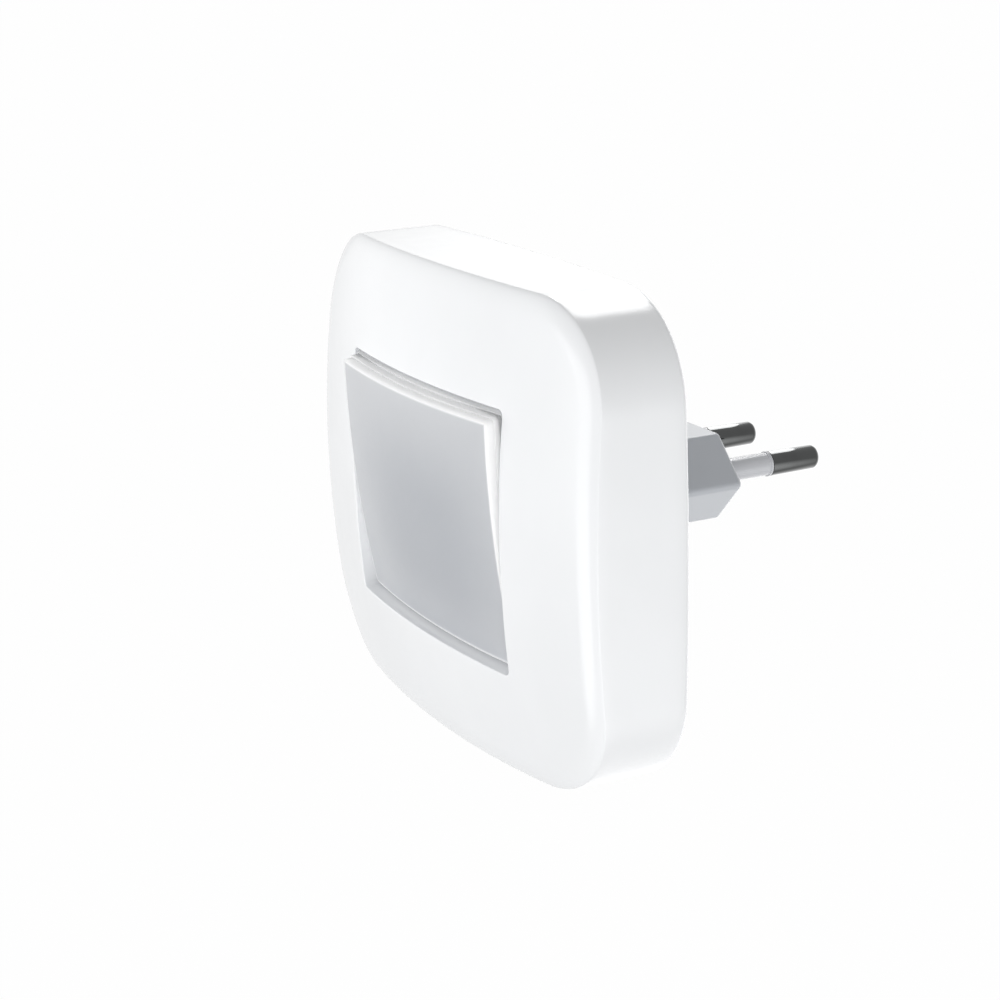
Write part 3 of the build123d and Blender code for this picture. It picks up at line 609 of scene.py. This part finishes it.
def rocker_panel():
    """The opal panel: a shallow dome with three fine steps down its sides, hollow behind.

    The profile runs from the middle of the dome over its soft edge and down the steps, each a
    short wall and a narrow ledge with a fine round. The last wall flares out into a thin skirt,
    which covers the carrier's edge. The profile returns inside the skirt to the foot and along
    the hollow.
    """
    apex = -PIVOT_DEPTH
    steps = range(LENS_STEPS)
    half_widths = [LENS_HALF_WIDTH + k * LENS_STEP_WIDTH for k in steps]
    half_heights = [LENS_HALF_HEIGHT + k * LENS_STEP_RISE for k in steps]
    outlines = [rectangle_outline(half_widths[k], half_heights[k], LENS_CORNER) for k in steps]
    hollow = rectangle_outline(
        LENS_HALF_WIDTH - LENS_WALL, LENS_HALF_HEIGHT - LENS_WALL, LENS_CORNER
    )
    rounds = [
        dome_fillet(
            outlines[k].points(),
            outlines[k].normals,
            LENS_EDGE_FILLET if k == 0 else LENS_STEP_FILLET,
            apex + k * LENS_STEP_DROP,
            LENS_DOME_RADIUS - k * LENS_STEP_DROP,
            EDGE_STEPS,
        )[::-1]
        for k in steps
    ]
    middle = on_dome(rounds[0][0][:, [0, 2]] / DOME_STEPS, apex, LENS_DOME_RADIUS)
    rings = [middle] + over_dome(middle, rounds[0][0], DOME_STEPS, apex, LENS_DOME_RADIUS)
    for k in steps:
        rings += rounds[k]
        if k + 1 < LENS_STEPS:
            drop = (k + 1) * LENS_STEP_DROP
            rings.append(on_dome(outlines[k].points(), apex + drop, LENS_DOME_RADIUS - drop))
    skirt = rectangle_outline(SKIRT_HALF_WIDTH, SKIRT_HALF_HEIGHT, LENS_CORNER)
    carrier = rectangle_outline(
        CARRIER_HALF_WIDTH + CARRIER_GAP, CARRIER_HALF_HEIGHT + CARRIER_GAP, LENS_CORNER
    )
    rings += [at_depth(skirt.points(), -SKIRT_REAR), at_depth(carrier.points(), -SKIRT_REAR)]
    rings.append(at_depth(carrier.points(), -LENS_FOOT))
    inner_apex, inner_radius = apex + LENS_WALL, LENS_DOME_RADIUS - LENS_WALL
    rings.append(at_depth(hollow.points(), -LENS_FOOT))
    rings.append(on_dome(hollow.points(), inner_apex, inner_radius))
    inner_middle = on_dome(hollow.points() / DOME_STEPS, inner_apex, inner_radius)
    rings += over_dome(rings[-1], inner_middle, DOME_STEPS, inner_apex, inner_radius)
    rings.append(inner_middle)
    poles = in_rocker(np.array([(0.0, apex, 0.0), (0.0, inner_apex, 0.0)]))
    return skin("rocker_lens_skin", [in_rocker(ring) for ring in rings], poles)


def spring():
    """The plunger's spring: a round wire carried along a helix about the plunger's axis.

    In the rocker's frame the helix turns about Y: (radius * cos, y, radius * sin). Each ring of
    the wire spans the outward direction and the one across it and the helix's tangent. The spring
    comes with its seat, the fixed end of its axis, in metres.
    """
    _, y, z = (spring_low + spring_high) / 2 - (0.0, PIVOT_Y, PIVOT_Z)
    middle = y * math.cos(ROCKER_TILT) + z * math.sin(ROCKER_TILT)
    coil_length = SPRING_LENGTH - 2 * SPRING_WIRE_RADIUS
    part = np.linspace(0, 1, SPRING_TURNS * COIL_STEPS + 1)
    turn = 2 * math.pi * SPRING_TURNS * part
    outward = np.stack([np.cos(turn), np.zeros_like(turn), np.sin(turn)], axis=-1)
    centres = SPRING_RADIUS * outward
    centres[:, 1] = middle + (part - 0.5) * coil_length
    tangent = np.gradient(centres, axis=0)
    across = np.cross(tangent, outward)
    across /= np.linalg.norm(across, axis=1)[:, None]
    around = np.linspace(0, 2 * math.pi, WIRE_STEPS, endpoint=False)[:, None]
    rings = [
        in_rocker(centre + SPRING_WIRE_RADIUS * (np.cos(around) * out + np.sin(around) * side))
        for centre, out, side in zip(centres, outward, across)
    ]
    piece = skin("plunger_spring_wound", rings, in_rocker(centres[[0, -1]]))
    seat = in_rocker(np.array([(0.0, middle - SPRING_LENGTH / 2, 0.0)]))[0] * MM
    return piece, seat


# ------------------------------------------------------------------ pins
def pin(side, x):
    """A turned pin, from its rounded tip to its riveted tail.

    The tip ends at a rounded shoulder, the waist behind it carries the sleeve, and the head holds
    the shank in the plug.
    """
    strip_y = -PLUG_END_WALL - PIN_HEAD_HEIGHT
    tip_centre = (PIN_RADIUS - PIN_TIP_FILLET, PIN_LENGTH - PIN_TIP_FILLET)
    shoulder_centre = (SLEEVE_RADIUS, SLEEVE_LENGTH + SHOULDER_LENGTH)
    profile = [(0, PIN_LENGTH)]
    profile += quarter(tip_centre, (PIN_TIP_FILLET, PIN_TIP_FILLET), 90, 2 * EDGE_STEPS)
    profile += quarter(shoulder_centre, (PIN_RADIUS - SLEEVE_RADIUS, SHOULDER_LENGTH), 0)
    profile += [
        (PIN_CORE_RADIUS, SLEEVE_LENGTH),
        (PIN_CORE_RADIUS, -SLEEVE_DEPTH),
        (SLEEVE_RADIUS, -SLEEVE_DEPTH),
        (SLEEVE_RADIUS, -PLUG_END_WALL),
        (PIN_HEAD_RADIUS, -PLUG_END_WALL),
        (PIN_HEAD_RADIUS, strip_y),
        (PIN_TAIL_RADIUS, strip_y),
        (PIN_TAIL_RADIUS, strip_y - STRIP_THICKNESS),
        (RIVET_HEAD_RADIUS, strip_y - STRIP_THICKNESS),
        (PIN_TAIL_RADIUS, PIN_TAIL_Y),
        (0, PIN_TAIL_Y),
    ]
    return turned("pin_" + side + "_turned", profile, (x, 0.0))


def sleeve(side, x):
    """A pin's plastic sleeve, with a fine lip at the pin's shoulder and a collar at the plug."""
    end = SLEEVE_LENGTH - SLEEVE_END_GAP
    lip_end = end - SLEEVE_LIP
    edge = (SLEEVE_ROUND, SLEEVE_ROUND)
    lip_centre = (PIN_RADIUS - SLEEVE_ROUND, end - SLEEVE_ROUND)
    collar_centre = (SLEEVE_COLLAR_RADIUS - SLEEVE_ROUND, SLEEVE_COLLAR_HEIGHT - SLEEVE_ROUND)
    profile = [(PIN_CORE_RADIUS, end)]
    profile += quarter(lip_centre, edge, 90)
    profile += [(PIN_RADIUS, lip_end), (SLEEVE_RADIUS, lip_end - SLEEVE_LIP_SLOPE)]
    profile += [(SLEEVE_RADIUS, SLEEVE_COLLAR_HEIGHT)]
    profile += quarter(collar_centre, edge, 90)
    profile += [
        (SLEEVE_COLLAR_RADIUS, -SLEEVE_COLLAR_SINK),
        (SLEEVE_RADIUS, -SLEEVE_COLLAR_SINK),
        (SLEEVE_RADIUS, -SLEEVE_DEPTH),
        (PIN_CORE_RADIUS, -SLEEVE_DEPTH),
    ]
    return turned("pin_sleeve_" + side + "_turned", profile, (x, 0.0))


# ------------------------------------------------------------------ finishes
# a pattern's edges are the values where it starts to show and where it is full
CLOUD_SIZE = 14.0
CLOUD_EDGES = (0.35, 0.65)
CLOUD_TONE = 0.985
SHEEN_SIZE = 3.0
SHEEN_SPREAD = 0.05

OPAL_DEPTH = 3.0
# painted shade on the opal face: an off-centre middle, a random cloud along the edge of the shade,
# where the shade fades out, and the shaded and unshaded colours
PAINTED_SHADE_MIDDLE = (2.5, -3.0)
OPAL_CLOUD_SIZE = 9.0
OPAL_CLOUD_STRENGTH = 0.12
PAINTED_SHADE_EDGES = (0.3, 1.35)
OPAL_PAINTED_SHADE = (0.435, 0.455, 0.49)
OPAL_FACE_UNSHADED = (0.6, 0.615, 0.64)
OPAL_SIDE_EDGES = (-0.4, 0.1)
# the opal sides: white, painted lighter than the face, and a painted glow
OPAL_SIDE_AND_PAINTED_LIGHT = (0.93, 0.935, 0.945)
OPAL_SIDE_PAINTED_GLOW = (0.09, 0.091, 0.093)
BLACK = (0.0, 0.0, 0.0)

MARKS_SPREAD = 0.12
STAIN_SIZE = 2.5
STAIN_EDGES = (0.4, 0.7)
STAIN_TONE = 0.86
PLATING_ROUGHNESS = 0.03

WEAVE_TURN = 12.0
WEAVE_EDGES = (-0.8, 0.8)
BOARD_DARK = (0.012, 0.13, 0.05)
BOARD_LIGHT = (0.018, 0.17, 0.07)


def moulded(name, colour, roughness, grain=0.35, relief=0.0012, ior=1.5):
    """Moulded plastic: a faint cloudiness, an uneven sheen and the fine relief of the mould.

    The relief's features are grain wide and relief deep, in millimetres.
    """
    finish = Finish(name, IOR=ior)
    cloud = finish.smooth(finish.noise(CLOUD_SIZE, 3.0), *CLOUD_EDGES)
    darker = tuple(CLOUD_TONE * part for part in colour)
    finish.set("Base Color", finish.mix(cloud, darker, colour))
    finish.sheen(finish.noise(SHEEN_SIZE), roughness, SHEEN_SPREAD)
    finish.bump(finish.noise(grain, 4.0), relief)
    return finish


def opal_finish():
    """Opal plastic: a cool grey face with painted shade, darker about its middle and lighter
    towards its edges, and white sides with painted light: lighter than the face, with a faint
    painted glow.

    The place is turned back into the rocker's own frame, where x runs across the face and v up
    it. The distance towards the edge, taken from the painted shade's off-centre middle, is the cube
    root of the sum of two cubes, which rounds the corners of the painted shade.
    """
    finish = Finish("opal_lens", IOR=1.5, Subsurface_Weight=1.0, Subsurface_Scale=OPAL_DEPTH * MM)
    finish.set("Subsurface Radius", (1.0, 1.0, 1.0))
    x, y, z = finish.coordinates()
    v = (z - PIVOT_Z) * math.cos(ROCKER_TILT) - (y - PIVOT_Y) * math.sin(ROCKER_TILT)
    past_x = abs(x) - (LENS_HALF_WIDTH - LENS_EDGE_FILLET)
    past_v = abs(v) - (LENS_HALF_HEIGHT - LENS_EDGE_FILLET)
    side = finish.smooth(past_x.most(past_v), *OPAL_SIDE_EDGES)
    # painted shade: the face is darker about an off-centre middle and lighter towards its edges
    aside = abs(x - PAINTED_SHADE_MIDDLE[0]) / LENS_HALF_WIDTH
    above = abs(v - PAINTED_SHADE_MIDDLE[1]) / LENS_HALF_HEIGHT
    towards_edge = (aside**3 + above**3) ** (1 / 3)
    cloud = finish.noise(OPAL_CLOUD_SIZE, 3.0) * OPAL_CLOUD_STRENGTH
    clear = finish.smooth(towards_edge + cloud, *PAINTED_SHADE_EDGES)
    face = finish.mix(clear, OPAL_PAINTED_SHADE, OPAL_FACE_UNSHADED)
    # painted light: the sides are white, painted lighter than the face, and carry a faint painted
    # glow
    finish.set("Base Color", finish.mix(side, face, OPAL_SIDE_AND_PAINTED_LIGHT))
    finish.set("Emission Color", finish.mix(side, BLACK, OPAL_SIDE_PAINTED_GLOW))
    finish.set("Emission Strength", 1.0)
    finish.sheen(finish.noise(1.2), roughness=0.34, spread=0.08)
    finish.bump(finish.noise(0.16, 3.0), depth=0.0015)
    return finish


def metal(name, colour, roughness, grain=(0.05, 0.6, 0.05), relief=0.0006, plating=0.0):
    """Metal, bare or bright plated, with fine turning or drawing marks.

    grain is the marks' size along X, Y and Z and relief their depth, in millimetres.
    """
    finish = Finish(name, Metallic=1.0, Coat_Weight=plating, Coat_Roughness=PLATING_ROUGHNESS)
    place = {0: finish.place, 1: grain}
    stretched = finish.node("ShaderNodeVectorMath", {"operation": "DIVIDE"}, place)
    marks = finish.noise(1.0, 3.0, stretched)
    stain = finish.smooth(finish.noise(STAIN_SIZE, 3.0), *STAIN_EDGES)
    duller = tuple(STAIN_TONE * part for part in colour)
    finish.set("Base Color", finish.mix(stain, colour, duller))
    finish.sheen(marks, roughness, MARKS_SPREAD)
    finish.bump(marks, relief)
    return finish


def board_finish():
    """Fibreglass board: green lacquer with the weave of the glass showing faintly through it.

    The weave is the product of two sines, which turn by WEAVE_TURN radians in a millimetre.
    """
    finish = Finish("board_laminate", IOR=1.5)
    x, _, z = finish.coordinates()
    weave = (x * WEAVE_TURN).sine() * (z * WEAVE_TURN).sine()
    tone = finish.smooth(weave, *WEAVE_EDGES)
    finish.set("Base Color", finish.mix(tone, BOARD_DARK, BOARD_LIGHT))
    finish.sheen(finish.noise(2.0), roughness=0.3, spread=0.1)
    finish.bump(tone, depth=0.01)
    return finish


# colour, roughness, grain and relief, and then a plastic's refraction or a metal's plating
FINISHES = {
    "housing_white": moulded("housing_white", (0.88, 0.892, 0.906), 0.2, 0.5, 0.0008, 1.58),
    # the plug is white plastic; its grey colour is painted shade, for the shade that the housing
    # casts on it
    "plug_white": moulded("plug_white_painted_shade", (0.455, 0.475, 0.505), 0.3, 0.3),
    "opal_lens": opal_finish(),
    # painted reflection: the pins' near-black colour stands in for dark surroundings mirrored in
    # their bright nickel plating
    "pin_metal": metal("pin_metal", (0.03, 0.032, 0.032), 0.12, (1.0, 0.04, 1.0), 0.0004, 1.0),
    "sleeve_plastic": moulded("sleeve_plastic", (0.55, 0.56, 0.585), 0.16, 0.2, 0.0006),
    "inner_white": moulded("inner_white", (0.87, 0.875, 0.88), 0.32),
    "brass_strip": metal("brass_strip", (0.78, 0.56, 0.24), 0.28),
    "plunger_metal": metal("plunger_metal", (0.6, 0.6, 0.6), 0.2),
    "spring_steel": metal("spring_steel", (0.45, 0.45, 0.46), 0.22),
    "switch_plastic": moulded("switch_plastic", (0.05, 0.05, 0.055), 0.4),
    "board_laminate": board_finish(),
    "led_phosphor": moulded("led_phosphor", (0.9, 0.78, 0.25), 0.35),
    "capacitor_plastic": moulded("capacitor_plastic", (0.55, 0.06, 0.05), 0.3),
    "capacitor_can": metal("capacitor_can", (0.1, 0.12, 0.2), 0.3),
    "chip_plastic": moulded("chip_plastic", (0.03, 0.03, 0.03), 0.45),
    "resistor_coat": moulded("resistor_coat", (0.35, 0.5, 0.62), 0.4),
    "screw_steel": metal("screw_steel", (0.5, 0.5, 0.5), 0.25),
}


# ------------------------------------------------------------------ pieces
def soft_shading():
    """A modifier's node group: joins loose triangles and shades them smooth up to a sharp edge."""
    group = bpy.data.node_groups.new("soft_shading", "GeometryNodeTree")
    for way in ("INPUT", "OUTPUT"):
        group.interface.new_socket("Geometry", in_out=way, socket_type="NodeSocketGeometry")
    nodes = Nodes(group)
    angle = nodes.node("GeometryNodeInputMeshEdgeAngle", output="Unsigned Angle")
    angles = {0: angle, 1: SHARP_ANGLE}
    sharp = nodes.node("FunctionNodeCompare", {"operation": "GREATER_THAN"}, angles)
    start = nodes.node("NodeGroupInput")
    loose = {0: start, "Distance": MERGE_DISTANCE}
    merged = nodes.node("GeometryNodeMergeByDistance", inputs=loose)
    smooth = nodes.node("GeometryNodeSetShadeSmooth", inputs={0: merged})
    crease = {0: smooth, "Selection": sharp, "Shade Smooth": False}
    creased = nodes.node("GeometryNodeSetShadeSmooth", {"domain": "EDGE"}, crease)
    nodes.node("NodeGroupOutput", inputs={0: creased})
    return group


def dress(piece, slot):
    """Gives a piece the finish of one of the record's slots."""
    piece.data.materials.clear()
    piece.data.materials.append(FINISHES[slot].material)


def place_pieces():
    """Makes the modelled pieces: each stands for a node and rides on its body."""
    modelled = [
        (housing_shell(), "housing", "housing_white", "front_shell"),
        (shell_bosses(), "housing", "housing_white", "front_shell"),
        (rocker_panel(), "rocker", "opal_lens", "rocker_lens"),
    ]
    for side, x in (("left", -PIN_X), ("right", PIN_X)):
        modelled.append((pin(side, x), "housing", "pin_metal", "pin_" + side))
        modelled.append((sleeve(side, x), "housing", "sleeve_plastic", "pin_sleeve_" + side))
    coil, seat = spring()
    modelled.append((coil, "rocker", "spring_steel", "plunger_spring"))
    for piece, body, slot, node in modelled:
        dress(piece, slot)
        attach(piece, body)
        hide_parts(node)
    keep = 1 - SPRING_TRAVEL / SPRING_LENGTH
    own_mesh(coil)


def finish_nodes():
    """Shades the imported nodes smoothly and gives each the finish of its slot."""
    shading = soft_shading()
    for node in frame["nodes"].values():
        slot = node.material_slots[0].material.name.split(".")[0]
        node.material_slots[0].material = FINISHES[slot].material
        node.modifiers.new("soft_shading", "NODES").node_group = shading
        weighted = node.modifiers.new("flat_faces", "WEIGHTED_NORMAL")
        weighted.keep_sharp = True


# ------------------------------------------------------------------ studio
CAMERA_PLACE = (317.690, -196.924, 101.228)
CAMERA_AZIMUTH = 62.7207
CAMERA_ELEVATION = 16.0399
CAMERA_ROLL = -1.3956
CAMERA_LENS = 87.09
CAMERA_SENSOR = 36.0
CAMERA_CLIP = (0.01, 100.0)

FLOOR_Z = -450.0
FLOOR_RADIUS = 20000.0
FLOOR_STEPS = 64
FLOOR_COLOUR = (0.9, 0.9, 0.9)
FLOOR_ROUGHNESS = 0.9
FLOOR_GLOW = 0.985

# the light tent: the direction it glows from, the cosines of the angles to it where the glow
# starts and is full, and the levels in that direction and away from it
TENT_DIRECTION = (0.367, -0.865, 0.342)
TENT_EDGES = (0.4, 0.765)
TENT_FRONT = 0.95
TENT_BACK = 0.08

# soft patches of light on the tent: direction, the same two cosines, and level; a patch whose
# second number is past 1 stays below its level
PATCHES = [
    ((-0.704, 0.57, 0.423), (0.9, 0.975), 1.3),
    ((-0.838, -0.544, 0.035), (0.82, 0.975), 0.85),
    ((0.874, 0.031, -0.485), (0.7, 1.11), 3.25),
    ((-0.24, 0.9, -0.37), (0.6, 0.98), 1.1),
]

# place, long side's direction, length, height and radiance; all lengths in millimetres
LAMPS = {
    "overhead_lamp": ((-370, 372, 613), (1, 0, 0.68), 560, 145, 7.6),
    "rim_lamp": ((-264, -958, -186), (1, 0, 0.3), 484, 790, 1.95),
}


def camera():
    """The camera, turned to its azimuth and elevation and then rolled about its own axis."""
    made = in_scene("camera", bpy.data.cameras.new("camera"))
    made.data.lens = CAMERA_LENS
    made.data.sensor_width = CAMERA_SENSOR
    made.data.clip_start, made.data.clip_end = CAMERA_CLIP
    azimuth, elevation = math.radians(CAMERA_AZIMUTH), math.radians(CAMERA_ELEVATION)
    back = Vector((
        math.sin(azimuth) * math.cos(elevation),
        -math.cos(azimuth) * math.cos(elevation),
        math.sin(elevation),
    ))
    turn = Quaternion(back, math.radians(CAMERA_ROLL)) @ (-back).to_track_quat("-Z", "Y")
    made.rotation_mode = "QUATERNION"
    made.rotation_quaternion = turn
    made.location = Vector(CAMERA_PLACE) * MM
    bpy.context.scene.camera = made


def lamp(name, place, along, length, height, radiance):
    """A soft box that the camera doesn't see, turned to the middle of the housing."""
    light = bpy.data.lights.new(name, "AREA")
    light.shape = "RECTANGLE"
    light.size, light.size_y = length * MM, height * MM
    light.energy = radiance * math.pi * light.size * light.size_y
    made = in_scene(name, light)
    target = Vector((0.0, (DOME_APEX_Y + BACK_Y) / 2, 0.0))
    back = (Vector(place) - target).normalized()
    across = (Vector(along) - Vector(along).dot(back) * back).normalized()
    turn = Matrix((across, back.cross(across), back)).transposed()
    made.location = Vector(place) * MM
    made.rotation_mode = "QUATERNION"
    made.rotation_quaternion = turn.to_quaternion()
    made.visible_camera = False


def seen_directly(nodes):
    """1 for rays that show the background: from the camera, or by reflection or refraction."""
    ray = nodes.node("ShaderNodeLightPath", output="Is Camera Ray")
    return ray.most(ray.beside("Is Glossy Ray")).most(ray.beside("Is Transmission Ray"))


def glow(nodes, direction, towards, edges, levels):
    """Light that rises from the first level to the second near a direction."""
    pair = {0: direction, 1: Vector(towards).normalized()}
    aligned = nodes.node("ShaderNodeVectorMath", {"operation": "DOT_PRODUCT"}, pair, "Value")
    return nodes.smooth(aligned, *edges, *levels)


def surroundings():
    """A white surround where it is seen, and elsewhere a light tent with soft patches."""
    world = bpy.data.worlds.new("surroundings")
    bpy.context.scene.world = world
    world.use_nodes = True
    nodes = Nodes(world.node_tree)
    direction = nodes.node("ShaderNodeTexCoord", output="Generated")
    tent = glow(nodes, direction, TENT_DIRECTION, TENT_EDGES, (TENT_BACK, TENT_FRONT))
    light = tent.most(seen_directly(nodes))
    for towards, edges, level in PATCHES:
        light = light + glow(nodes, direction, towards, edges, (0.0, level))
    sky = {"Color": (1.0, 1.0, 1.0), "Strength": light}
    shade = nodes.node("ShaderNodeBackground", inputs=sky)
    nodes.node("ShaderNodeOutputWorld", inputs={"Surface": shade})


def floor():
    """A pale round floor far below, which looks white and still takes a soft shadow."""
    around = np.linspace(0, 2 * math.pi, FLOOR_STEPS, endpoint=False)
    points = np.stack([np.cos(around), np.sin(around), np.zeros(FLOOR_STEPS)], axis=-1)
    points = points * FLOOR_RADIUS + (0, 0, FLOOR_Z)
    mesh = bpy.data.meshes.new("floor")
    mesh.from_pydata((points * MM).tolist(), [], [list(range(FLOOR_STEPS))])
    made = in_scene("floor", mesh)
    made.visible_diffuse = made.visible_glossy = made.visible_shadow = False
    paint = bpy.data.materials.new("floor_paint")
    paint.use_nodes = True
    nodes = Nodes(paint.node_tree)
    plain = {"Base Color": FLOOR_COLOUR, "Roughness": FLOOR_ROUGHNESS}
    matt = nodes.node("ShaderNodeBsdfPrincipled", inputs=plain)
    white = nodes.node("ShaderNodeEmission")
    share = seen_directly(nodes) * FLOOR_GLOW
    surface = nodes.node("ShaderNodeMixShader", inputs={0: share, 1: matt, 2: white})
    nodes.node("ShaderNodeOutputMaterial", inputs={"Surface": surface})
    mesh.materials.append(paint)


finish_nodes()
place_pieces()
camera()
surroundings()
floor()
for lamp_name, settings in LAMPS.items():
    lamp(lamp_name, *settings)
bpy.context.scene.view_settings.view_transform = "Standard"
